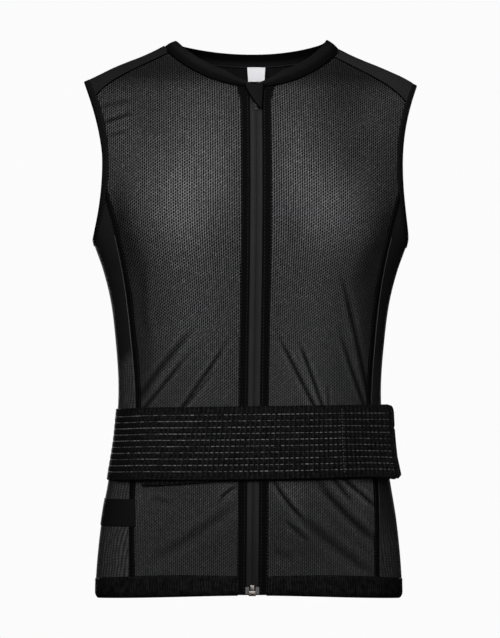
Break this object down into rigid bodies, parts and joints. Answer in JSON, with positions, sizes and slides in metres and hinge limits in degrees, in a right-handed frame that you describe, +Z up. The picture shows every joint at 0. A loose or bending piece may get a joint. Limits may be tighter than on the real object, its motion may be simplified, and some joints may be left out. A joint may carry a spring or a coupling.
{
  "type": "back protector vest",
  "caption": "Sleeveless black mesh vest with a front zip, a ribbed elastic waist belt and a padded back plate, worn to guard the back in sport.",
  "frame": {"origin": "middle of the body at the level of the shoulder ridge beside the neck, where the vest hangs on the shoulders", "axes": "+Z up, from the hem to the shoulders; +X to the wearer's left; the zipped front faces -Y and the padded back +Y"},
  "size_m": [0.412, 0.2646, 0.6848],
  "materials": {
    "mesh_knit": "open black knitted mesh",
    "shoulder_knit": "smooth black knit",
    "side_knit": "smooth black stretch knit",
    "collar_knit": "smooth black knit band",
    "black_tape": "black woven tape",
    "hook_patch": "black hook fastener",
    "elastic": "black ribbed elastic",
    "zip_tape": "dark grey woven zip tape",
    "zip_film": "grey film",
    "slider_metal": "dark lacquered metal",
    "box_metal": "warm grey metal",
    "pad_cover": "black knit over foam",
    "label": "white woven, blank"
  },
  "bodies": {
    "root": {"front_mesh_left": "mesh_knit", "front_mesh_right": "mesh_knit", "shoulder_yoke_left": "shoulder_knit", "shoulder_yoke_right": "shoulder_knit", "side_panel_left": "side_knit", "side_panel_right": "side_knit", "back_panel": "side_knit", "collar": "collar_knit", "zip_garage": "collar_knit", "seam_tape_left": "black_tape", "seam_tape_right": "black_tape", "armhole_binding_left": "black_tape", "armhole_binding_right": "black_tape", "zip_facing_left": "black_tape", "zip_facing_right": "black_tape", "side_tab": "black_tape", "belt_hook_patch": "hook_patch", "hem_band": "elastic", "belt_under": "elastic", "belt_over": "elastic", "zip_tape_left": "zip_tape", "zip_tape_right": "zip_tape", "zip_film_left": "zip_film", "zip_film_right": "zip_film", "zip_slider": "slider_metal", "zip_box": "box_metal", "back_protector": "pad_cover", "neck_label": "label"}
  },
  "joints": []
}
